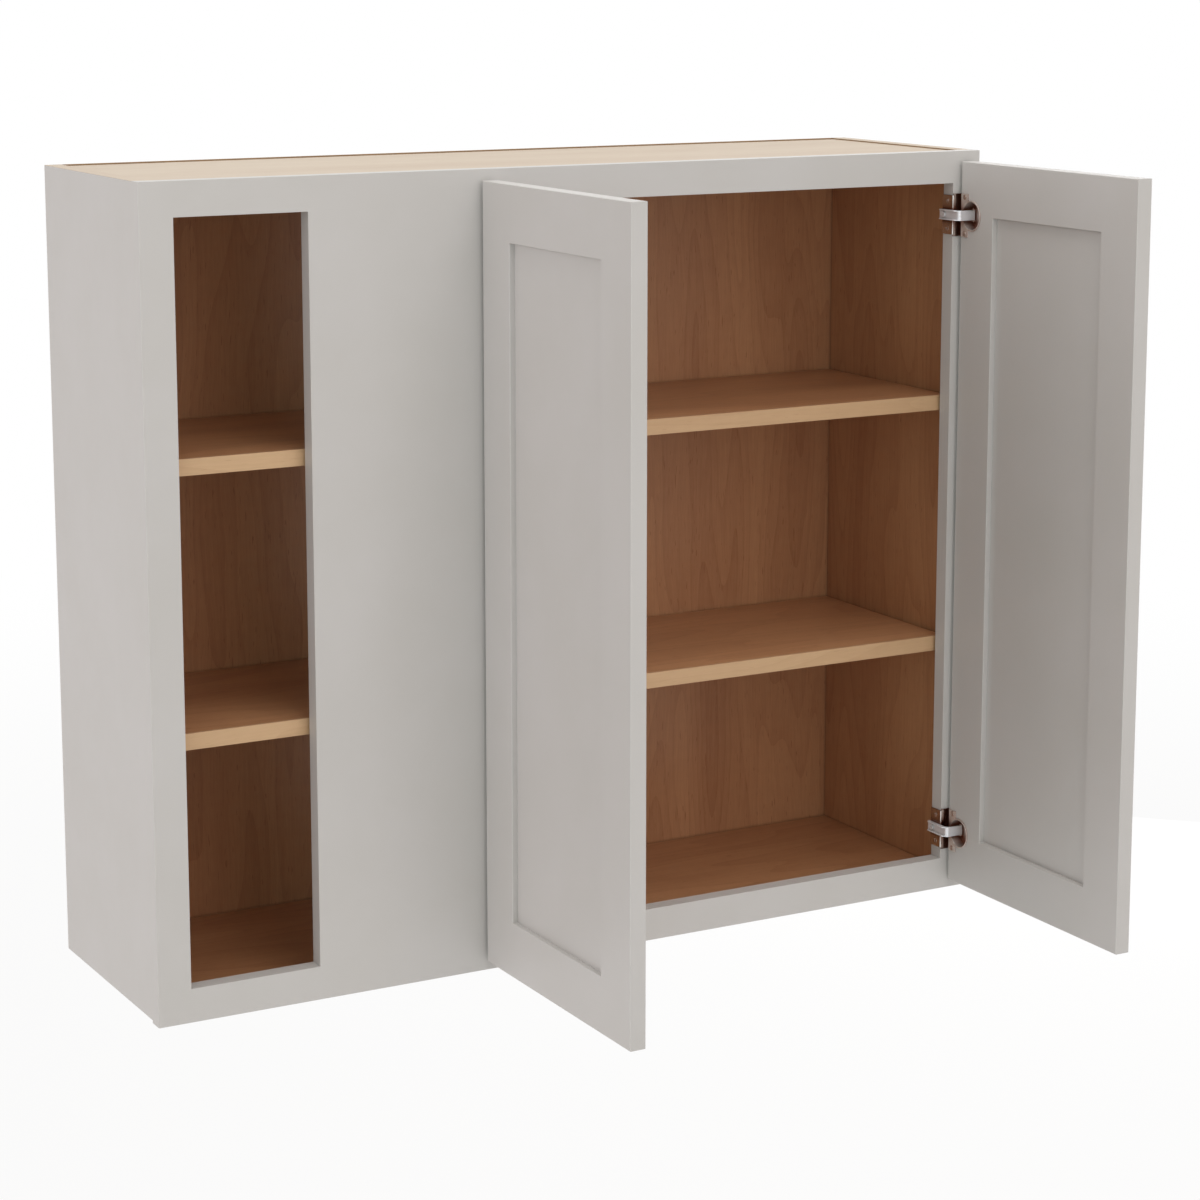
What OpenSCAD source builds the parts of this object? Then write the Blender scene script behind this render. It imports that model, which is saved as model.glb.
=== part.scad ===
// Blind corner wall cabinet with a face frame, two Shaker doors on concealed cup hinges and two shelves.
// Millimetres. The origin is the middle of the back face.
// X runs along the front, Y points into the wall and Z is up.
// Both doors are drawn open at a right angle to the front.

/* [Cabinet] */
// Overall width
cab_w = 1066.8; // [1040:0.1:1120]
// Overall height
cab_h = 914.4; // [800:0.1:1060]
// Overall depth with the face frame
cab_d = 295; // [285:0.1:330]
// Thickness of the side panels
side_t = 19.05; // [18:0.05:20]
// Thickness of the top and bottom panels
deck_t = 12.7; // [12:0.1:15]
// Thickness of the back panel
back_t = 3.2; // [3:0.1:5]
// Height of the side panels' rim above the top panel
top_rim = 1.6; // [1:0.1:3]
// Height of the hanging rail
hang_h = 44; // [38:1:60]

/* [Face frame] */
// Thickness of the face frame
frame_t = 19.05; // [19:0.05:22]
// Width of the outer stiles and the rails
frame_w = 38.1; // [38:0.1:45]
// Width of the open blind section beside the left stile
blind_open_w = 152.4; // [130:0.1:170]
// Width of the blind stile
blind_stile_w = 231.8; // [200:0.1:250]
// How far the frame hangs below the side panels
frame_drop = 3.2; // [2:0.1:6]

/* [Shelves] */
// Thickness of the shelves
shelf_t = 18.3; // [16:0.05:22]
// Depth of the solid strip on a shelf's front edge
strip_d = 3.2; // [2:0.1:6]
// Space between a shelf's front edge and the face frame
shelf_setback = 5.6; // [1:0.1:20]
// Space between a shelf's end and the side panel
shelf_end_gap = 4; // [1:0.1:5]
// Space between a shelf's back edge and the back panel
shelf_back_gap = 3.2; // [1:0.1:5]

/* [Doors] */
// Thickness of the doors
door_t = 19.05; // [19:0.05:22]
// Width of the door stiles and rails
door_frame_w = 63.5; // [58:0.5:72]
// Thickness of the door panel
panel_t = 6.35; // [5:0.05:8]
// How far the doors lie over the stiles
side_overlay = 28.6; // [26:0.1:31]
// How far the doors lie over the rails
end_overlay = 26; // [10:0.1:30]
// Gap between the two closed doors
meeting_gap = 3.2; // [2:0.1:5]
// Gap between a closed door and the frame
door_gap = 3.5; // [3.4:0.1:4.5]

/* [Hinges] */
// Distance of the pivot from the door's hinge edge
pivot_in = 9; // [8.6:0.1:9.2]
// Depth of the pivot below the door's back
pivot_deep = 11.5; // [11:0.1:11.5]
// Diameter of the hinge cup's bore
cup_d = 35; // [35:0.1:36]
// Wood left between the cup's bore and the door's edge
cup_tab = 3.2; // [3:0.1:3.5]
// Height of the hinges' middle above or below the door's end
hinge_inset = 64; // [55:1:90]
// Width of the hinge arm
arm_w = 12; // [11:0.1:12]
// Thickness of the wrap-round plate
plate_t = 1.5; // [1.2:0.1:1.6]
// Height of the plate's leg on the opening side
leg_h = 47; // [44:0.5:50]
// Height of the plate's wing on the front
wing_h = 51; // [48:0.5:56]

/* [Hidden] */

eps = 1;
half = 1 / 2;
quarter = 1 / 4;
right_angle = 90;

// Levels and planes of the case
half_w = cab_w * half;
half_h = cab_h * half;
face_y = -cab_d;
case_y = face_y + frame_t;
back_y = -back_t;
side_z = frame_drop - half_h;
inner_x = half_w - side_t;
deck_lip = 0.9;
top_z = half_h - top_rim - deck_t;
floor_z = side_z + deck_lip;
floor_top = floor_z + deck_t;
tongue_t = deck_t * half;
dado_d = side_t * half;
rabbet_d = side_t * half;
joint_gap = 0.2;
arris = 0.6;
hang_t = 19.05;

// Face frame
tenon_t = frame_t * half;
tenon_l = 25;
tenon_shoulder = 6;
tenon_gap = 0.5;
open_z = half_h - frame_w;
rail_in_x = half_w - frame_w;
blind_x0 = blind_open_w - rail_in_x;
blind_x1 = blind_x0 + blind_stile_w;
open_cx = (blind_x1 + rail_in_x) * half;
open_half = (rail_in_x - blind_x1) * half;

// Shelves: three bays of nearly equal height
shelf_low = 1.1;
bay_h = (top_z - floor_top - 2 * shelf_t) / 3;
lower_z = floor_top + bay_h - shelf_low;
upper_z = lower_z + shelf_t + bay_h;
shelf_x = inner_x - shelf_end_gap;
shelf_y = case_y + shelf_setback;
shelf_back = back_y - shelf_back_gap;
support_d = 5;
support_fit = 0.1;
support_in = 9;
support_out = 9;
support_w = 10;
support_t = 5;
support_inset = 45;

// Doors, in the frame of the right door's pivot with the door closed
door_w = open_half + side_overlay - meeting_gap * half;
door_h = 2 * (open_z + end_overlay);
door_back = pivot_deep;
door_face = pivot_deep - door_t;
door_mid = (door_back + door_face) * half;
hinge_x = pivot_in;
hinge_in_x = hinge_x - door_frame_w;
meet_x = hinge_x - door_w;
meet_in_x = meet_x + door_frame_w;
groove_d = 10;
tongue_gap = 0.2;
panel_float = 1.5;
door_half = door_h * half;
rail_in_z = door_half - door_frame_w;

// Hinges
pivot_x = open_half + side_overlay - pivot_in;
pivot_y = face_y - door_gap - pivot_deep;
hinge_z = door_half - hinge_inset;
stile_x = pivot_in - side_overlay;
frame_y = pivot_deep + door_gap;
pin_r = 1.25;
pin_fit = 0.08;
eye_wall = 0.75;
eye_r = pin_r + pin_fit + eye_wall;
cup_fit = 0.1;
cup_wall = 0.7;
cup_clear = 0.3;
cup_r = cup_d * half - cup_fit;
cup_in_r = cup_r - cup_wall;
cup_x = pivot_in - cup_tab - cup_d * half;
cup_h = pivot_deep + eye_r + cup_clear + cup_wall;
cup_floor = pivot_deep - cup_h + cup_wall;
bore_h = cup_h + cup_fit;
flange_t = 1;
flange_rim = 0.9;
flange_r = cup_d * half + flange_rim;
ear_near = 1;
ear_far = 14.3;
ear_h = 51.8;
lug_t = 1;
lug_r = 2.2;
lug_gap = 0.4;
lug_z = arm_w * half + lug_gap;
pin_h = 2 * (lug_z + lug_t + cup_wall);

// Hinge arm: a strip from the pin out of the cup, bent back along the plate, with a flange on each edge
strip_t = 2;
cheek_t = 1.2;
leg_x = stile_x - plate_t;
bend_r = 4;
neck_y = -eye_r;
neck_top = neck_y + strip_t;
arm_web = leg_x - strip_t;
cheek_w = 3;
cheek_x = arm_web - cheek_w;
ear_rise = 4.6;
ear_run = 4.5;
arm_end = frame_y + frame_t + 3;
cheek_low = neck_y + bend_r + ear_rise * half;
wing_w = 11.3;

// Screws
wood_r = 1.75;
wood_head_r = 3.4;
wood_l = 15;
wood_tip = 3;
cup_screw_r = 1.5;
cup_screw_head_r = 2.9;
cup_screw_l = 12.5;
cup_screw_in = 8;
cup_screw_z = 22;
plate_screw_z = 16.5;
machine_r = 2;
machine_head_r = 3.5;
machine_head_h = 1.8;
machine_l = 12;
machine_y = frame_y + frame_t * 0.7;
screw_fit = 0.1;
slot_w = 0.9;
slot_d = 0.6;

paint = [0.74, 0.72, 0.69];
maple = [0.45, 0.29, 0.19];
pale_maple = [0.86, 0.79, 0.71];
edge_maple = [0.75, 0.6, 0.44];
nickel = [0.78, 0.77, 0.75];

$fn = 48;
small_fn = 32;

// A box between two corners
module block(lo, hi) {
  translate(lo) cube(hi - lo);
}

// Children at the right-hand end of the door opening, mirrored for the left-hand end
module on_end(side) {
  translate([open_cx, 0, 0])
    if (side > 0) {
      children();
    } else {
      mirror([1, 0, 0]) children();
    }
}

// Children in the pivot's frame, with the door closed
module at_pivot(side) {
  on_end(side) translate([pivot_x, pivot_y, 0]) children();
}

// Children that turn with the door, drawn open
module on_door(side) {
  at_pivot(side) rotate([0, 0, right_angle]) children();
}

// A cylinder along Y from y0 to y1
module rod_y(x, z, y0, y1, r) {
  translate([x, y0, z]) rotate([-right_angle, 0, 0]) cylinder(h = y1 - y0, r = r);
}

// A cone or cylinder along X from x0 to x1
module cone_x(x0, x1, y, z, r0, r1) {
  translate([x0, y, z]) rotate([0, right_angle, 0]) cylinder(h = x1 - x0, r1 = r0, r2 = r1, $fn = small_fn);
}

// Case

module side_panel() {
  difference() {
    block([inner_x, case_y, side_z], [half_w, 0, half_h]);
    block([inner_x - eps, case_y - eps, top_z], [inner_x + dado_d, eps, top_z + tongue_t + joint_gap]);
    block(
      [inner_x - eps, case_y - eps, floor_top - tongue_t - joint_gap],
      [inner_x + dado_d, eps, floor_top]
    );
    block([inner_x - eps, back_y, side_z - eps], [inner_x + rabbet_d, eps, half_h + eps]);
    for (z = [lower_z, upper_z])
      for (y = [shelf_y + support_inset, shelf_back - support_inset])
        translate([inner_x - eps, y, z - support_t * half])
          rotate([0, right_angle, 0])
            cylinder(h = support_in + support_fit + eps, d = support_d + support_fit, $fn = small_fn);
  }
}

// A top or bottom panel with a tongue at each end
module deck(z, tongue_z) {
  block([-inner_x, case_y, z], [inner_x, back_y, z + deck_t]);
  block(
    [-inner_x - dado_d + joint_gap, case_y, tongue_z],
    [inner_x + dado_d - joint_gap, back_y, tongue_z + tongue_t]
  );
}

module left_side() {
  color(paint) mirror([1, 0, 0]) side_panel();
}

module right_side() {
  color(paint) side_panel();
}

module top_panel() {
  color(pale_maple) deck(top_z, top_z);
}

module bottom_panel() {
  color(maple) deck(floor_z, floor_top - tongue_t);
}

module back_panel() {
  color(maple)
    block(
      [-inner_x - rabbet_d + joint_gap, back_y, side_z],
      [inner_x + rabbet_d - joint_gap, 0, half_h]
    );
}

module hanging_rail() {
  color(maple) block([-inner_x, back_y - hang_t, top_z - hang_h], [inner_x, back_y, top_z]);
}

// Face frame

// The mortise for a tenon that enters the right stile from its inner edge, at one rail
module rail_mortise(z) {
  block(
    [rail_in_x - eps, face_y + (frame_t - tenon_t) * half, z - frame_w * half + tenon_shoulder],
    [
      rail_in_x + tenon_l + tenon_gap,
      face_y + (frame_t + tenon_t) * half,
      z + frame_w * half - tenon_shoulder
    ]
  );
}

module outer_stile() {
  difference() {
    translate([0, 0, -half_h])
      linear_extrude(height = cab_h)
        polygon([
          [rail_in_x, face_y], [half_w - arris, face_y], [half_w, face_y + arris],
          [half_w, case_y], [rail_in_x, case_y]
        ]);
    for (end = [-1, 1])
      rail_mortise(end * (half_h - frame_w * half));
  }
}

module frame_left_stile() {
  color(paint) mirror([1, 0, 0]) outer_stile();
}

module frame_right_stile() {
  color(paint) difference() {
    outer_stile();
    on_end(1) plate_holes();
  }
}

module frame_blind_stile() {
  color(paint) difference() {
    union() {
      block([blind_x0, face_y, -open_z], [blind_x1, case_y, open_z]);
      block(
        [blind_x0 + tenon_shoulder, face_y + (frame_t - tenon_t) * half, -open_z - tenon_l],
        [blind_x1 - tenon_shoulder, face_y + (frame_t + tenon_t) * half, open_z + tenon_l]
      );
    }
    on_end(-1) plate_holes();
  }
}

module frame_rail() {
  difference() {
    union() {
      block([-rail_in_x, face_y, open_z], [rail_in_x, case_y, half_h]);
      block(
        [-rail_in_x - tenon_l, face_y + (frame_t - tenon_t) * half, open_z + tenon_shoulder],
        [rail_in_x + tenon_l, face_y + (frame_t + tenon_t) * half, half_h - tenon_shoulder]
      );
    }
    block(
      [blind_x0 + tenon_shoulder, face_y + (frame_t - tenon_t) * half, open_z - eps],
      [blind_x1 - tenon_shoulder, face_y + (frame_t + tenon_t) * half, open_z + tenon_l + tenon_gap]
    );
  }
}

module frame_top_rail() {
  color(paint) frame_rail();
}

module frame_bottom_rail() {
  color(paint) mirror([0, 0, 1]) frame_rail();
}

// Shelves

module shelf(z) {
  block([-shelf_x, shelf_y + strip_d, z], [shelf_x, shelf_back, z + shelf_t]);
}

module shelf_strip(z) {
  block([-shelf_x, shelf_y, z], [shelf_x, shelf_y + strip_d, z + shelf_t]);
}

module upper_shelf() {
  color(maple) shelf(upper_z);
}

module lower_shelf() {
  color(maple) shelf(lower_z);
}

module upper_shelf_edge() {
  color(edge_maple) shelf_strip(upper_z);
}

module lower_shelf_edge() {
  color(edge_maple) shelf_strip(lower_z);
}

// A support in the right side panel: a round pin in the panel and a flat lug under the shelf
module shelf_pin(y, z) {
  translate([inner_x, y, z - support_t * half])
    rotate([0, right_angle, 0])
      cylinder(h = support_in, d = support_d, $fn = small_fn);
  block([inner_x - support_out, y - support_w * half, z - support_t], [inner_x, y + support_w * half, z]);
}

module shelf_pins() {
  color(nickel)
    for (z = [lower_z, upper_z])
      for (y = [shelf_y + support_inset, shelf_back - support_inset]) {
        shelf_pin(y, z);
        mirror([1, 0, 0]) shelf_pin(y, z);
      }
}

// Doors, in the pivot's frame

// The outline of a door stile seen from above, eased on its four arrises, with the panel's groove
module stile_section(x0, x1, groove_x) {
  difference() {
    polygon([
      [x0 + arris, door_face], [x1 - arris, door_face], [x1, door_face + arris], [x1, door_back - arris],
      [x1 - arris, door_back], [x0 + arris, door_back], [x0, door_back - arris], [x0, door_face + arris]
    ]);
    translate([groove_x - groove_d, door_mid - panel_t * half]) square([2 * groove_d, panel_t]);
  }
}

module stile_bar(x0, x1, groove_x) {
  translate([0, 0, -door_half - eps])
    linear_extrude(height = door_h + 2 * eps)
      stile_section(x0, x1, groove_x);
}

// A bar along X from x0 to x1 with its four long arrises eased
module eased_bar(x0, x1, z0, z1) {
  translate([x0, 0, 0])
    rotate([right_angle, 0, right_angle])
      linear_extrude(height = x1 - x0)
        polygon([
          [door_face + arris, z0], [door_back - arris, z0], [door_back, z0 + arris], [door_back, z1 - arris],
          [door_back - arris, z1], [door_face + arris, z1], [door_face, z1 - arris], [door_face, z0 + arris]
        ]);
}

module door_stile(x0, x1, groove_x) {
  intersection() {
    stile_bar(x0, x1, groove_x);
    eased_bar(x0 - eps, x1 + eps, -door_half, door_half);
  }
}

// A hole for a cup screw, at height z from the hinge's middle
module cup_screw_hole(z, y0, y1) {
  rod_y(pivot_in - cup_screw_in, z, y0, y1, cup_screw_r + screw_fit, $fn = small_fn);
}

module hinge_stile() {
  difference() {
    door_stile(hinge_in_x, hinge_x, hinge_in_x);
    for (end = [-1, 1])
      translate([0, 0, end * hinge_z]) {
        rod_y(cup_x, 0, door_back - bore_h, door_back + eps, cup_d * half);
        for (z = [-cup_screw_z, cup_screw_z])
          cup_screw_hole(z, door_back - cup_screw_l, door_back + eps);
      }
  }
}

// The top rail: its ends are coped over the stiles' eased arrises and run on as tongues in the grooves
module door_rail() {
  difference() {
    union() {
      difference() {
        eased_bar(meet_in_x - arris, hinge_in_x + arris, rail_in_z, door_half);
        stile_bar(meet_x, meet_in_x, meet_in_x);
        stile_bar(hinge_in_x, hinge_x, hinge_in_x);
      }
      block(
        [meet_in_x - groove_d + tongue_gap, door_mid - panel_t * half, rail_in_z + arris],
        [hinge_in_x + groove_d - tongue_gap, door_mid + panel_t * half, door_half]
      );
    }
    block(
      [meet_x, door_mid - panel_t * half, rail_in_z - eps],
      [hinge_x, door_mid + panel_t * half, rail_in_z + groove_d]
    );
  }
}

module door_panel() {
  edge = groove_d - panel_float;
  block(
    [meet_in_x - edge, door_mid - panel_t * half, -rail_in_z - edge],
    [hinge_in_x + edge, door_mid + panel_t * half, rail_in_z + edge]
  );
}

module left_door_hinge_stile() {
  color(paint) on_door(-1) hinge_stile();
}

module left_door_meeting_stile() {
  color(paint) on_door(-1) door_stile(meet_x, meet_in_x, meet_in_x);
}

module left_door_top_rail() {
  color(paint) on_door(-1) door_rail();
}

module left_door_bottom_rail() {
  color(paint) on_door(-1) mirror([0, 0, 1]) door_rail();
}

module left_door_panel() {
  color(paint) on_door(-1) door_panel();
}

module right_door_hinge_stile() {
  color(paint) on_door(1) hinge_stile();
}

module right_door_meeting_stile() {
  color(paint) on_door(1) door_stile(meet_x, meet_in_x, meet_in_x);
}

module right_door_top_rail() {
  color(paint) on_door(1) door_rail();
}

module right_door_bottom_rail() {
  color(paint) on_door(1) mirror([0, 0, 1]) door_rail();
}

module right_door_panel() {
  color(paint) on_door(1) door_panel();
}

// Hinges, in the pivot's frame at the hinge's own height

// The cup in the door: a thin bowl with a flange on the door's back and two lugs that hold the pin
module cup() {
  difference() {
    union() {
      rod_y(cup_x, 0, cup_floor - cup_wall, door_back, cup_r);
      rod_y(cup_x, 0, door_back, door_back + flange_t, flange_r);
      block(
        [pivot_in - ear_far, door_back, -ear_h * half],
        [pivot_in - ear_near, door_back + flange_t, ear_h * half]
      );
    }
    rod_y(cup_x, 0, cup_floor, door_back + flange_t + eps, cup_in_r);
    for (z = [-cup_screw_z, cup_screw_z])
      cup_screw_hole(z, door_back - eps, door_back + flange_t + eps);
  }
  for (end = [-1, 1])
    difference() {
      union() {
        translate([0, 0, end * (lug_z + lug_t * half) - lug_t * half])
          cylinder(h = lug_t, r = lug_r, $fn = small_fn);
        translate([-lug_r, cup_floor - cup_wall * half, end * (lug_z + lug_t * half) - lug_t * half])
          cube([2 * lug_r, cup_wall * half - cup_floor, lug_t]);
      }
      translate([0, 0, -pin_h]) cylinder(h = 2 * pin_h, r = pin_r, $fn = small_fn);
    }
}

module pin() {
  translate([0, 0, -pin_h * half]) cylinder(h = pin_h, r = pin_r, $fn = small_fn);
}

// The flange on one edge of the arm, seen from above, with the ear beside the cup
module cheek() {
  linear_extrude(height = cheek_t)
    polygon([
      [leg_x + ear_run, neck_top], [leg_x, neck_top + ear_rise], [leg_x, arm_end - cheek_w],
      [leg_x - strip_t, arm_end], [arm_web, arm_end], [cheek_x, arm_end - cheek_w],
      [cheek_x, cheek_low], [arm_web + half, neck_top]
    ]);
}

// The arm: an eye round the pin, a strip that leaves the cup and turns back along the plate, and two flanges
module arm() {
  difference() {
    union() {
      translate([0, 0, -arm_w * half]) cylinder(h = arm_w, r = eye_r, $fn = small_fn);
      block([arm_web + bend_r, neck_y, -arm_w * half], [0, neck_top, arm_w * half]);
      translate([arm_web + bend_r, neck_y + bend_r, -arm_w * half])
        intersection() {
          difference() {
            cylinder(h = arm_w, r = bend_r);
            translate([0, 0, -eps]) cylinder(h = arm_w + 2 * eps, r = bend_r - strip_t);
          }
          translate([-bend_r, -bend_r, 0]) cube([bend_r, bend_r, arm_w]);
        }
      block([arm_web, neck_y + bend_r, -arm_w * half], [leg_x, arm_end, arm_w * half]);
      translate([0, 0, -arm_w * half]) cheek();
      translate([0, 0, arm_w * half - cheek_t]) cheek();
    }
    translate([0, 0, -arm_w]) cylinder(h = 2 * arm_w, r = pin_r + pin_fit, $fn = small_fn);
    cone_x(arm_web - eps, leg_x + eps, machine_y, 0, machine_r + screw_fit, machine_r + screw_fit);
  }
}

// The plate that wraps round the stile's front arris
module wrap_plate() {
  difference() {
    union() {
      block([leg_x, frame_y, -leg_h * half], [stile_x, frame_y + frame_t, leg_h * half]);
      block([stile_x, frame_y - plate_t, -wing_h * half], [stile_x + wing_w, frame_y, wing_h * half]);
      translate([stile_x, frame_y, -leg_h * half])
        intersection() {
          cylinder(h = leg_h, r = plate_t);
          translate([-plate_t, -plate_t, 0]) cube([plate_t, plate_t, leg_h]);
        }
    }
    for (z = [-plate_screw_z, plate_screw_z])
      cone_x(leg_x, stile_x, frame_y + frame_t * half, z, wood_head_r, wood_r + screw_fit);
    cone_x(leg_x - eps, stile_x + eps, machine_y, 0, machine_r + screw_fit, machine_r + screw_fit);
  }
}

// A hole from a stile's edge inwards for a screw of radius r
module stile_hole(length, y, z, r) {
  cone_x(stile_x - eps, stile_x + length, y, z, r + screw_fit, r + screw_fit);
}

// The holes in a stile's edge for the four plate screws and the two arm screws of one door
module plate_holes() {
  translate([pivot_x, pivot_y, 0])
    for (end = [-1, 1])
      translate([0, 0, end * hinge_z]) {
        for (z = [-plate_screw_z, plate_screw_z])
          stile_hole(wood_l, frame_y + frame_t * half, z, wood_r);
        stile_hole(machine_l, machine_y, 0, machine_r);
      }
}

module plate_screw() {
  difference() {
    union() {
      cone_x(leg_x, stile_x, 0, 0, wood_head_r, wood_r);
      cone_x(stile_x, stile_x + wood_l - wood_tip, 0, 0, wood_r, wood_r);
      cone_x(stile_x + wood_l - wood_tip, stile_x + wood_l - eps, 0, 0, wood_r, wood_r * quarter);
    }
    cross_slot(leg_x, wood_head_r);
  }
}

// A cross recess cut into a head whose top lies at x
module cross_slot(x, head_r) {
  for (turn = [0, right_angle])
    rotate([turn, 0, 0])
      block([x - eps, -slot_w * half, -head_r * 0.6], [x + slot_d, slot_w * half, head_r * 0.6]);
}

module arm_screw() {
  difference() {
    union() {
      cone_x(arm_web - machine_head_h, arm_web, 0, 0, machine_head_r, machine_head_r);
      cone_x(arm_web, stile_x + machine_l - eps, 0, 0, machine_r, machine_r);
    }
    cross_slot(arm_web - machine_head_h, machine_head_r);
  }
}

module cup_screw() {
  difference() {
    union() {
      rod_y(0, 0, door_back + flange_t, door_back + flange_t + slot_d, cup_screw_head_r, $fn = small_fn);
      rod_y(0, 0, door_back - cup_screw_l + eps, door_back + flange_t, cup_screw_r, $fn = small_fn);
    }
    for (turn = [0, right_angle])
      rotate([0, turn, 0])
        block(
          [-cup_screw_head_r * 0.6, door_back + flange_t + slot_d * half, -slot_w * half],
          [cup_screw_head_r * 0.6, door_back + flange_t + slot_d + eps, slot_w * half]
        );
  }
}

module at_hinge(side, end) {
  at_pivot(side) translate([0, 0, end * hinge_z]) children();
}

module on_door_hinge(side, end) {
  on_door(side) translate([0, 0, end * hinge_z]) children();
}

module left_upper_hinge_plate() {
  color(nickel) at_hinge(-1, 1) wrap_plate();
}

module left_upper_hinge_arm() {
  color(nickel) at_hinge(-1, 1) arm();
}

module left_upper_hinge_cup() {
  color(nickel) on_door_hinge(-1, 1) cup();
}

module left_upper_hinge_pin() {
  color(nickel) on_door_hinge(-1, 1) pin();
}

module left_lower_hinge_plate() {
  color(nickel) at_hinge(-1, -1) wrap_plate();
}

module left_lower_hinge_arm() {
  color(nickel) at_hinge(-1, -1) arm();
}

module left_lower_hinge_cup() {
  color(nickel) on_door_hinge(-1, -1) cup();
}

module left_lower_hinge_pin() {
  color(nickel) on_door_hinge(-1, -1) pin();
}

module right_upper_hinge_plate() {
  color(nickel) at_hinge(1, 1) wrap_plate();
}

module right_upper_hinge_arm() {
  color(nickel) at_hinge(1, 1) arm();
}

module right_upper_hinge_cup() {
  color(nickel) on_door_hinge(1, 1) cup();
}

module right_upper_hinge_pin() {
  color(nickel) on_door_hinge(1, 1) pin();
}

module right_lower_hinge_plate() {
  color(nickel) at_hinge(1, -1) wrap_plate();
}

module right_lower_hinge_arm() {
  color(nickel) at_hinge(1, -1) arm();
}

module right_lower_hinge_cup() {
  color(nickel) on_door_hinge(1, -1) cup();
}

module right_lower_hinge_pin() {
  color(nickel) on_door_hinge(1, -1) pin();
}

module plate_screws() {
  color(nickel)
    for (side = [-1, 1])
      for (end = [-1, 1])
        at_hinge(side, end)
          for (z = [-plate_screw_z, plate_screw_z])
            translate([0, frame_y + frame_t * half, z]) plate_screw();
}

module arm_screws() {
  color(nickel)
    for (side = [-1, 1])
      for (end = [-1, 1])
        at_hinge(side, end) translate([0, machine_y, 0]) arm_screw();
}

module cup_screws(side) {
  for (end = [-1, 1])
    on_door_hinge(side, end)
      for (z = [-cup_screw_z, cup_screw_z])
        translate([pivot_in - cup_screw_in, 0, z]) cup_screw();
}

module left_cup_screws() {
  color(nickel) cup_screws(-1);
}

module right_cup_screws() {
  color(nickel) cup_screws(1);
}

left_side();
right_side();
top_panel();
bottom_panel();
back_panel();
hanging_rail();
frame_left_stile();
frame_blind_stile();
frame_right_stile();
frame_top_rail();
frame_bottom_rail();
upper_shelf();
upper_shelf_edge();
lower_shelf();
lower_shelf_edge();
shelf_pins();
left_door_hinge_stile();
left_door_meeting_stile();
left_door_top_rail();
left_door_bottom_rail();
left_door_panel();
right_door_hinge_stile();
right_door_meeting_stile();
right_door_top_rail();
right_door_bottom_rail();
right_door_panel();
left_upper_hinge_plate();
left_upper_hinge_arm();
left_upper_hinge_cup();
left_upper_hinge_pin();
left_lower_hinge_plate();
left_lower_hinge_arm();
left_lower_hinge_cup();
left_lower_hinge_pin();
right_upper_hinge_plate();
right_upper_hinge_arm();
right_upper_hinge_cup();
right_upper_hinge_pin();
right_lower_hinge_plate();
right_lower_hinge_arm();
right_lower_hinge_cup();
right_lower_hinge_pin();
plate_screws();
arm_screws();
left_cup_screws();
right_cup_screws();
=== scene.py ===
"""Looks of a blind corner wall cabinet: painted maple outside, clear-coated maple inside, bright nickel hinges."""

import math

import bmesh
import bpy
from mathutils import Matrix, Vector


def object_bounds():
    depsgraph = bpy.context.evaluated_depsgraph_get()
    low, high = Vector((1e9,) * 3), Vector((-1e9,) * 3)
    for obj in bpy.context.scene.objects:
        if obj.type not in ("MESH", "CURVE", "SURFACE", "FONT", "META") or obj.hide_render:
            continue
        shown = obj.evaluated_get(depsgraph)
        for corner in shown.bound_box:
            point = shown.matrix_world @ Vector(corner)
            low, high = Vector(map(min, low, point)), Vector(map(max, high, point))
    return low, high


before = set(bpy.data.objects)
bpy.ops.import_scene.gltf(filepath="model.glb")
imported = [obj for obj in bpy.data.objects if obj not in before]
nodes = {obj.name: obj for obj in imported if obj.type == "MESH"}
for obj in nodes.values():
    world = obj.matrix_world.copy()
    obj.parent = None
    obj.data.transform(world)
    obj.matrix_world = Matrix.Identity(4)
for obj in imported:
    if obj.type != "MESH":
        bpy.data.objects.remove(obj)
cad_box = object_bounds()

MM = 0.001


def linear(hex_colour):
    """An sRGB hex colour as linear RGBA."""
    parts = [int(hex_colour[i : i + 2], 16) / 255 for i in (1, 3, 5)]
    return (*[c / 12.92 if c <= 0.04045 else ((c + 0.055) / 1.055) ** 2.4 for c in parts], 1)


def add(tree, kind, links=None, inputs=None, **settings):
    """Adds one node with its settings, its fixed input values and its links, each given as (node, output)."""
    node = tree.nodes.new(kind)
    for name, value in settings.items():
        setattr(node, name, value)
    for name, value in (inputs or {}).items():
        node.inputs[name].default_value = value
    for name, (source, output) in (links or {}).items():
        tree.links.new(source.outputs[output], node.inputs[name])
    return node


def new_material(name):
    """An empty node material with an output, and its tree."""
    material = bpy.data.materials.new(name)
    material.use_nodes = True
    tree = material.node_tree
    tree.nodes.clear()
    return material, tree


def ramp(tree, source, stops):
    """A colour ramp fed by source, through the stops (position, linear colour)."""
    node = add(tree, "ShaderNodeValToRGB", {"Fac": source})
    bands = node.color_ramp.elements
    while len(bands) < len(stops):
        bands.new(0.5)
    for band, (position, colour) in zip(bands, stops):
        band.position = position
        band.color = colour
    return node


# --- camera -------------------------------------------------------------------

camera = bpy.data.objects.new("camera", bpy.data.cameras.new("camera"))
bpy.context.scene.collection.objects.link(camera)
camera.location = Vector((-1620.5, -3243.6, 687.6)) * MM
camera.rotation_euler = (math.radians(90 - 9.672), 0, math.radians(-28.971))
camera.data.sensor_width = 36
camera.data.lens = 90.209
camera.data.shift_y = -0.11
camera.data.clip_start = 0.05
camera.data.clip_end = 60
bpy.context.scene.camera = camera

# --- studio -------------------------------------------------------------------

scene = bpy.context.scene
scene.view_settings.view_transform = "Standard"

# The cabinet hangs at its usual height over the floor: 54 inches to its bottom edge.
HANG_HEIGHT = 1372 * MM
floor_z = cad_box[0].z - HANG_HEIGHT

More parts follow.
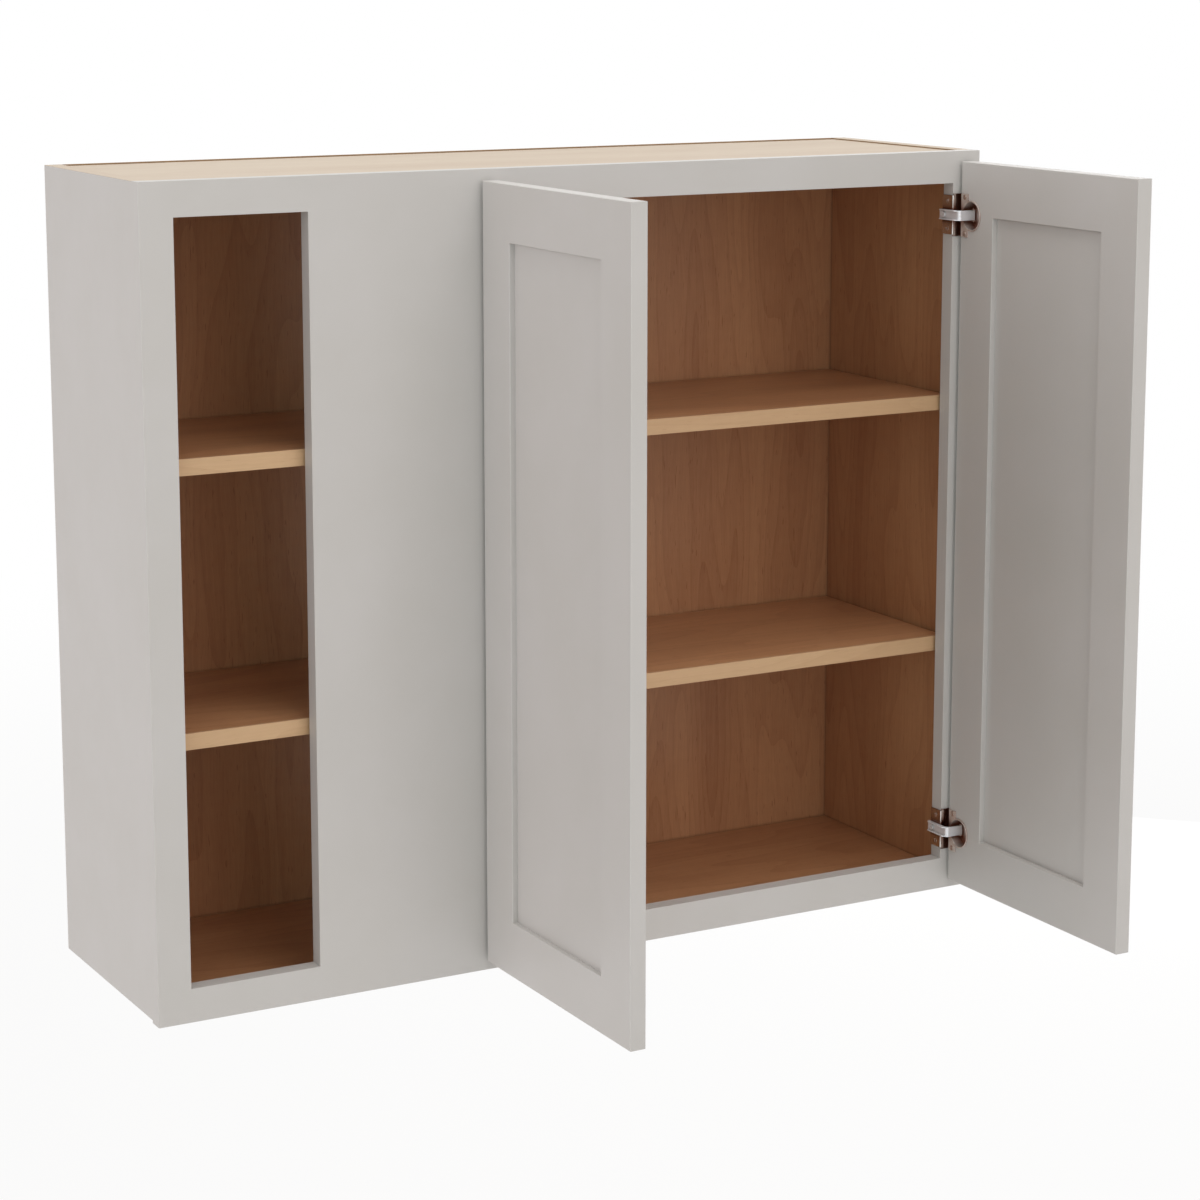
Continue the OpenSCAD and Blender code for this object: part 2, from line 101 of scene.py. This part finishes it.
SOFTBOX_SIZE = 3.0
MIDDLE = (0.1, -0.3, 0.0)


def background():
    """White where the camera, a gloss or a glass looks, and an even soft studio light for everything else."""
    world = bpy.data.worlds.new("studio")
    world.use_nodes = True
    scene.world = world
    tree = world.node_tree
    tree.nodes.clear()
    path = add(tree, "ShaderNodeLightPath")
    seen = add(tree, "ShaderNodeMath", {0: (path, "Is Camera Ray"), 1: (path, "Is Glossy Ray")}, operation="MAXIMUM")
    seen = add(tree, "ShaderNodeMath", {0: (seen, 0), 1: (path, "Is Transmission Ray")}, operation="MAXIMUM")
    soft = add(tree, "ShaderNodeBackground", inputs={"Color": linear("#FFFBF6"), "Strength": 0.535})
    white = add(tree, "ShaderNodeBackground", inputs={"Color": (1, 1, 1, 1), "Strength": 1.0})
    mix = add(tree, "ShaderNodeMixShader", {"Fac": (seen, 0), 1: (soft, 0), 2: (white, 0)})
    add(tree, "ShaderNodeOutputWorld", {"Surface": (mix, 0)})


def softbox(name, place, power, colour="#FFFFFF"):
    """A large square lamp at place that points at the cabinet's middle."""
    lamp = bpy.data.lights.new(name, "AREA")
    lamp.shape = "SQUARE"
    lamp.size = SOFTBOX_SIZE
    lamp.energy = power
    lamp.color = linear(colour)[:3]
    lamp_object = bpy.data.objects.new(name, lamp)
    scene.collection.objects.link(lamp_object)
    lamp_object.location = place
    lamp_object.rotation_euler = (Vector(MIDDLE) - Vector(place)).to_track_quat("-Z", "Y").to_euler()


def floor():
    """A white floor far below: its own light is nearly white, and the rest shows the object's soft shadow."""
    shape = bmesh.new()
    bmesh.ops.create_circle(shape, cap_ends=True, segments=96, radius=30)
    bmesh.ops.translate(shape, verts=shape.verts, vec=(0, 0, floor_z))
    mesh = bpy.data.meshes.new("studio_floor")
    shape.to_mesh(mesh)
    shape.free()
    ground = bpy.data.objects.new("studio_floor", mesh)
    scene.collection.objects.link(ground)

    material, tree = new_material("matt_white_studio_floor")
    place = add(tree, "ShaderNodeTexCoord")
    distance = add(tree, "ShaderNodeVectorMath", {0: (place, "Object")}, operation="LENGTH")
    far = add(
        tree, "ShaderNodeMapRange", {"Value": (distance, "Value")},
        {"From Min": 3.0, "From Max": 9.0, "To Min": 0.86, "To Max": 1.0}, interpolation_type="SMOOTHSTEP",
    )
    path = add(tree, "ShaderNodeLightPath")
    seen = add(tree, "ShaderNodeMath", {0: (path, "Is Camera Ray"), 1: (path, "Is Glossy Ray")}, operation="MAXIMUM")
    fade = add(tree, "ShaderNodeMath", {0: (seen, 0), 1: (far, "Result")}, operation="MULTIPLY")
    matt = add(tree, "ShaderNodeBsdfDiffuse", inputs={"Color": linear("#F4F4F4")})
    white = add(tree, "ShaderNodeEmission", inputs={"Color": (1, 1, 1, 1), "Strength": 1.0})
    mix = add(tree, "ShaderNodeMixShader", {"Fac": (fade, 0), 1: (matt, 0), 2: (white, 0)})
    add(tree, "ShaderNodeOutputMaterial", {"Surface": (mix, 0)})
    mesh.materials.append(material)


# The lamps' powers and tints are tuned to the photograph's tones. The cool fill brings the right door's inner face,
# which the maple warms, nearer to them.
background()
floor()
softbox("left_softbox", (-5.2, -0.5, 1.0), 56.5, "#FFF1F4")
softbox("cool_fill_softbox", (-3.4, -4.2, 1.4), 15.5, "#A8F3FF")
softbox("front_softbox", (0.3, -5.4, 1.2), 31, "#FFF0EF")
softbox("high_front_softbox", (0.3, -4.2, 3.6), 41)
softbox("top_softbox", (0.0, -0.6, 3.8), 64)
# Low behind the cabinet, for the back and the right-hand faces, which the photograph doesn't show: left out, no
# patch in the photograph's view changes by as much as one level in 255.
softbox("rear_softbox", (4.0, 3.6, -0.4), 60)

# --- finishes -----------------------------------------------------------------
# A layer is what one finish gives to the skin of a piece: its colour, its sheen and its relief, each (node, output).


def noise(tree, vector, scale=1.0, detail=2.0, roughness=0.5):
    """Soft random values over vector."""
    return add(
        tree, "ShaderNodeTexNoise", {"Vector": vector},
        {"Scale": scale, "Detail": detail, "Roughness": roughness},
    )


def satin_varnish(tree):
    """Sprayed satin conversion varnish: an even warm light grey, a faint orange peel and soft highlights."""
    place = (add(tree, "ShaderNodeTexCoord"), "Object")
    # slow drift of tone over a hand's breadth, about one part in a hundred
    drift = noise(tree, place, 9.0, 3.0)
    colour = ramp(tree, (drift, "Fac"), [(0.3, linear("#C6C3BF")), (0.7, linear("#C9C6C3"))])
    # handling and overspray leave the sheen slightly uneven
    haze = noise(tree, place, 45.0, 5.0, 0.6)
    sheen = add(tree, "ShaderNodeMapRange", {"Value": (haze, "Fac")}, {"To Min": 0.36, "To Max": 0.48})
    # orange peel of the spray gun, 2.5 mm from bump to bump, a few hundredths deep
    peel = noise(tree, place, 400.0, 2.0, 0.45)
    relief = add(tree, "ShaderNodeMath", {0: (peel, "Fac")}, {1: 0.10}, operation="MULTIPLY")
    return (colour, "Color"), (sheen, "Result"), (relief, 0)


def maple(tree, across, along, dark, light, sheen):
    """Plain-sliced maple: broad flames, wavy growth lines, short fine fibres and a few dark flecks along the grain."""
    place = add(tree, "ShaderNodeTexCoord")
    parts = add(tree, "ShaderNodeSeparateXYZ", {"Vector": (place, "Object")})
    third = [axis for axis in "XYZ" if axis not in (across, along)][0]
    wood = add(tree, "ShaderNodeCombineXYZ", {"X": (parts, across), "Y": (parts, along), "Z": (parts, third)})

    def stretched(source, width, length):
        """The wood's space with one unit for each width across and each length along the grain, in millimetres."""
        return add(
            tree, "ShaderNodeMapping", {"Vector": source},
            {"Scale": (1 / (width * MM), 1 / (length * MM), 1 / (width * MM))},
        )

    def sum_of(first, *others):
        """first plus each value of others times its weight."""
        for value, weight in others:
            first = (add(tree, "ShaderNodeMath", {0: value, 2: first}, {1: weight}, operation="MULTIPLY_ADD"), 0)
        return first

    # the grain wanders sideways by 15 mm over half a metre and ripples by 2 mm over a hand's breadth
    wander = noise(tree, (stretched((wood, 0), 150, 420), 0))
    ripple = noise(tree, (stretched((wood, 0), 26, 75), 0))
    across_the_grain = add(tree, "ShaderNodeSeparateXYZ", {"Vector": (wood, 0)})
    x = sum_of((across_the_grain, "X"), ((wander, "Fac"), 34 * MM), ((ripple, "Fac"), 5 * MM))
    bent = add(tree, "ShaderNodeCombineXYZ", {"X": x, "Y": (across_the_grain, "Y"), "Z": (across_the_grain, "Z")})

    # flames of the sliced veneer, about 70 mm wide and 600 mm long
    flames = noise(tree, (stretched((bent, 0), 75, 640), 0), 1.0, 1.0, 0.4)
    # growth lines follow the flames' contours: each darkens slowly and ends on a fine edge, 8 to 50 mm apart
    rings = add(tree, "ShaderNodeMath", {0: (flames, "Fac")}, {1: 13.0}, operation="MULTIPLY")
    rings = add(tree, "ShaderNodeMath", {0: (rings, 0)}, operation="FRACT")
    rings = add(tree, "ShaderNodeMath", {0: (rings, 0)}, {1: 3.0}, operation="POWER")
    # fibres: really 0.1 mm, drawn 0.9 mm wide and some 20 mm long so that they show, in fainter 3 mm bundles
    fibres = noise(tree, (stretched((bent, 0), 0.9, 22), 0), 1.0, 2.0, 0.6)
    bundles = noise(tree, (stretched((bent, 0), 3.2, 85), 0), 1.0, 2.0, 0.5)
    # flecks of the rays, 1 mm wide and 10 mm long, in a few places only
    flecks = noise(tree, (stretched((bent, 0), 1.3, 15), 0), 1.0, 0.0)
    fleck = add(tree, "ShaderNodeMapRange", {"Value": (flecks, "Fac")}, {"From Min": 0.76, "From Max": 0.84})
    # curl: faint light patches as wide as a finger
    curl = noise(tree, (stretched((bent, 0), 22, 14), 0), 1.0, 1.0)

    base = add(tree, "ShaderNodeMath", {0: (flames, "Fac")}, {1: 0.7}, operation="MULTIPLY")
    tone = sum_of(
        (base, 0), ((rings, 0), -0.15), ((fibres, "Fac"), 0.30), ((bundles, "Fac"), 0.28), ((curl, "Fac"), 0.10),
        ((fleck, 0), -0.40),
    )
    tone = add(tree, "ShaderNodeMapRange", {"Value": tone}, {"From Min": 0.34, "From Max": 0.98})
    colour = ramp(tree, (tone, "Result"), [(0.0, linear(dark)), (1.0, linear(light))])
    gloss = add(
        tree, "ShaderNodeMapRange", {"Value": (fibres, "Fac")}, {"To Min": sheen - 0.06, "To Max": sheen + 0.08},
    )
    relief = add(tree, "ShaderNodeMath", {0: (fibres, "Fac")}, {1: 0.22}, operation="MULTIPLY")
    return (colour, "Color"), (gloss, "Result"), (relief, 0)


def clear_coated_maple(tree, across, along):
    """The inside: maple veneer under a clear brown-toned coat."""
    return maple(tree, across, along, "#9F6D4B", "#C6956C", 0.34)


def raw_maple(tree, across, along):
    """Bare sanded maple veneer, pale and dry."""
    return maple(tree, across, along, "#BFAD9A", "#CEC1AF", 0.62)


def where(tree, axis, above):
    """1 where the coordinate along axis, or with a leading | its distance from 0, is over above, in metres."""
    place = add(tree, "ShaderNodeTexCoord")
    parts = add(tree, "ShaderNodeSeparateXYZ", {"Vector": (place, "Object")})
    value = (parts, axis[-1])
    if axis[0] == "|":
        value = (add(tree, "ShaderNodeMath", {0: value}, operation="ABSOLUTE"), 0)
    return add(tree, "ShaderNodeMath", {0: value}, {1: above}, operation="GREATER_THAN")


def over(tree, mask, under, top):
    """The top layer where mask is 1, and the one under it elsewhere."""
    colour = add(tree, "ShaderNodeMix", data_type="RGBA")
    sheen = add(tree, "ShaderNodeMix", data_type="FLOAT")
    relief = add(tree, "ShaderNodeMix", data_type="FLOAT")
    for node, a, b, below, above in (
        (colour, 6, 7, under[0], top[0]), (sheen, 2, 3, under[1], top[1]), (relief, 2, 3, under[2], top[2]),
    ):
        tree.links.new(mask.outputs[0], node.inputs[0])
        tree.links.new(below[0].outputs[below[1]], node.inputs[a])
        tree.links.new(above[0].outputs[above[1]], node.inputs[b])
    return (colour, 2), (sheen, 0), (relief, 0)


def skin(name, layers, arris=0.12, corner_shade=0.6):
    """A material from the layers that layers(tree) gives.

    The arrises are rounded to the eye by arris millimetres. In inner corners and narrow gaps the colour is painted
    darker within a few millimetres, down to the fraction given as the last argument: painted shade, which draws the
    joints as the photograph shows them.
    """
    material, tree = new_material(name)
    colour, sheen, relief = layers(tree)
    # painted shade: the colour is scaled down where surfaces within 4 mm hem the point in
    corner = add(tree, "ShaderNodeAmbientOcclusion", inputs={"Distance": 4 * MM}, samples=8)
    shade = add(
        tree, "ShaderNodeMapRange", {"Value": (corner, "AO")},
        {"From Min": 0.35, "From Max": 0.95, "To Min": corner_shade, "To Max": 1.0},
    )
    corner_shaded_colour = add(tree, "ShaderNodeVectorMath", {0: colour, "Scale": (shade, "Result")}, operation="SCALE")
    colour = (corner_shaded_colour, "Vector")
    soft_arris = add(tree, "ShaderNodeBevel", inputs={"Radius": arris * MM}, samples=6)
    bump = add(
        tree, "ShaderNodeBump", {"Height": relief, "Normal": (soft_arris, "Normal")},
        {"Strength": 1.0, "Distance": 0.03 * MM},
    )
    shader = add(
        tree, "ShaderNodeBsdfPrincipled", {"Base Color": colour, "Roughness": sheen, "Normal": (bump, "Normal")},
        {"IOR": 1.5, "Specular IOR Level": 0.5},
    )
    add(tree, "ShaderNodeOutputMaterial", {"Surface": (shader, 0)})
    return material


# borders between finishes, each a little inside the face that it belongs to
OUTER_SIDE = 533.0 * MM
TOP_PANEL_FACE = 455.3 * MM
SIDE_TOP_EDGE = 456.9 * MM
WALL_FACE = -0.2 * MM

# the inner faces of the panels' rim that stands above the top: darker and yellower than the faces, a maple tone with
# painted shade of the narrow step in it
SHADED_RIM = ("#92714F", "#A98960", 0.6)


def rim_above_the_top(tree):
    """1 on the inner faces of the side panels above the top panel."""
    high = where(tree, "Z", TOP_PANEL_FACE)
    outside = where(tree, "|X", OUTER_SIDE)
    return add(tree, "ShaderNodeMath", {0: (high, 0), 1: (outside, 0)}, operation="SUBTRACT", use_clamp=True)


def side_panel_layers(tree):
    """A cabinet side: clear-coated veneer inside, varnish outside, bare wood on the top and rear edges."""
    inside = clear_coated_maple(tree, "Y", "Z")
    painted = over(tree, where(tree, "|X", OUTER_SIDE), inside, satin_varnish(tree))
    bare = raw_maple(tree, "X", "Y")
    # the rim above the top takes the darker tone: partly painted shade
    rim = over(tree, rim_above_the_top(tree), painted, maple(tree, "Y", "Z", *SHADED_RIM))
    edge = over(tree, where(tree, "Z", SIDE_TOP_EDGE), rim, bare)
    return over(tree, where(tree, "Y", WALL_FACE), edge, bare)


def back_panel_layers(tree):
    """The back: clear-coated towards the room, bare towards the wall and on its top edge."""
    room_side = clear_coated_maple(tree, "X", "Z")
    bare = raw_maple(tree, "X", "Z")
    # the rim above the top takes the darker tone: partly painted shade
    rim = over(tree, where(tree, "Z", TOP_PANEL_FACE), room_side, maple(tree, "X", "Z", *SHADED_RIM))
    return over(tree, where(tree, "Y", WALL_FACE), rim, bare)


def top_panel_layers(tree):
    """The top: bare above, clear-coated below."""
    return over(tree, where(tree, "Z", TOP_PANEL_FACE), clear_coated_maple(tree, "Y", "X"), raw_maple(tree, "Y", "X"))


def nickel_plate(name, light, dark, gloss, metal, arris, open_to=(0.40, 0.80)):
    """Nickel on pressed steel.

    gloss is the range of its roughness, metal its share of mirroring. The rounded edges catch the light over arris
    millimetres. The colour goes from dark to light over the range open_to of open air around it: the dark tone is
    painted shade, and where it is brown also a painted reflection of the maple around the plate. The brown dark tones
    and a share of mirroring under 1 aren't plain nickel's: they are matched to the photograph.
    """
    material, tree = new_material(name)
    place = (add(tree, "ShaderNodeTexCoord"), "Object")
    # a slightly hazy bloom, in spots of some 5 mm
    bloom = noise(tree, place, 180.0, 4.0, 0.6)
    haze = add(tree, "ShaderNodeMapRange", {"Value": (bloom, "Fac")}, {"To Min": gloss[0], "To Max": gloss[1]})
    soft_arris = add(tree, "ShaderNodeBevel", inputs={"Radius": arris * MM}, samples=8)
    corner = add(
        tree, "ShaderNodeAmbientOcclusion", {"Normal": (soft_arris, "Normal")}, {"Distance": 16 * MM}, samples=8,
    )
    open_air = add(
        tree, "ShaderNodeMapRange", {"Value": (corner, "AO")}, {"From Min": open_to[0], "From Max": open_to[1]},
    )
    # painted shade and painted reflection: the colour goes to the dark tone where the plate is hemmed in
    colour = ramp(tree, (open_air, "Result"), [(0.0, linear(dark)), (1.0, linear(light))])
    # rolling marks, about 1 mm apart and far too shallow to feel
    marks = noise(tree, place, 900.0, 2.0)
    bump = add(
        tree, "ShaderNodeBump", {"Height": (marks, "Fac"), "Normal": (soft_arris, "Normal")},
        {"Strength": 0.05, "Distance": 0.01 * MM},
    )
    shader = add(
        tree, "ShaderNodeBsdfPrincipled",
        {"Base Color": (colour, "Color"), "Roughness": (haze, "Result"), "Normal": (bump, "Normal")},
        {"Metallic": metal},
    )
    add(tree, "ShaderNodeOutputMaterial", {"Surface": (shader, 0)})
    return material


# every skin below paints shade into its corners and gaps, mildly on the paint and more on the maple
paint = skin("satin_conversion_varnish", satin_varnish, corner_shade=0.92)
shelf_veneer = skin("clear_coated_maple_grain_sideways", lambda tree: clear_coated_maple(tree, "Y", "X"))
side_skin = skin("painted_side_with_maple_inside", side_panel_layers)
back_skin = skin("maple_back_bare_behind", back_panel_layers)
top_skin = skin("maple_top_bare_above", top_panel_layers)
solid_edge = skin("solid_maple_edge", lambda tree: maple(tree, "Z", "X", "#BE9872", "#CFAC84", 0.42), arris=0.5)
# the dark tones are painted shade, and the brown ones a painted reflection of the maple as well
bright_nickel = nickel_plate("bright_nickel_plate", "#DCD8D2", "#8E6A58", (0.12, 0.20), 1.0, 0.6)
wing_nickel = nickel_plate("nickel_plate_beside_maple", "#DCD8D2", "#6A4234", (0.14, 0.22), 1.0, 0.5, (0.66, 0.97))
cup_nickel = nickel_plate("satin_nickel_drawn_cup", "#ECE6E0", "#94604A", (0.30, 0.38), 0.75, 0.8, (0.46, 0.82))
satin_nickel = nickel_plate("satin_nickel_plate", "#F2F2F5", "#C9C7C6", (0.34, 0.42), 0.35, 0.4)


def dress(node, material):
    """Gives a CAD node its finish."""
    mesh = nodes[node].data
    mesh.materials.clear()
    mesh.materials.append(material)


for name in nodes:
    if name.endswith("_arm") or name == "arm_screws":
        dress(name, satin_nickel)
    elif name.endswith("_hinge_cup"):
        dress(name, cup_nickel)
    elif name.endswith("_hinge_plate"):
        dress(name, wing_nickel)
    elif name.endswith("_hinge_pin") or "screws" in name or name == "shelf_pins":
        dress(name, bright_nickel)
    elif name.startswith("frame_") or "_door_" in name:
        dress(name, paint)
dress("top_panel", top_skin)
dress("left_side", side_skin)
dress("right_side", side_skin)
dress("back_panel", back_skin)
for name in ("bottom_panel", "hanging_rail", "upper_shelf", "lower_shelf"):
    dress(name, shelf_veneer)
for name in ("upper_shelf_edge", "lower_shelf_edge"):
    dress(name, solid_edge)
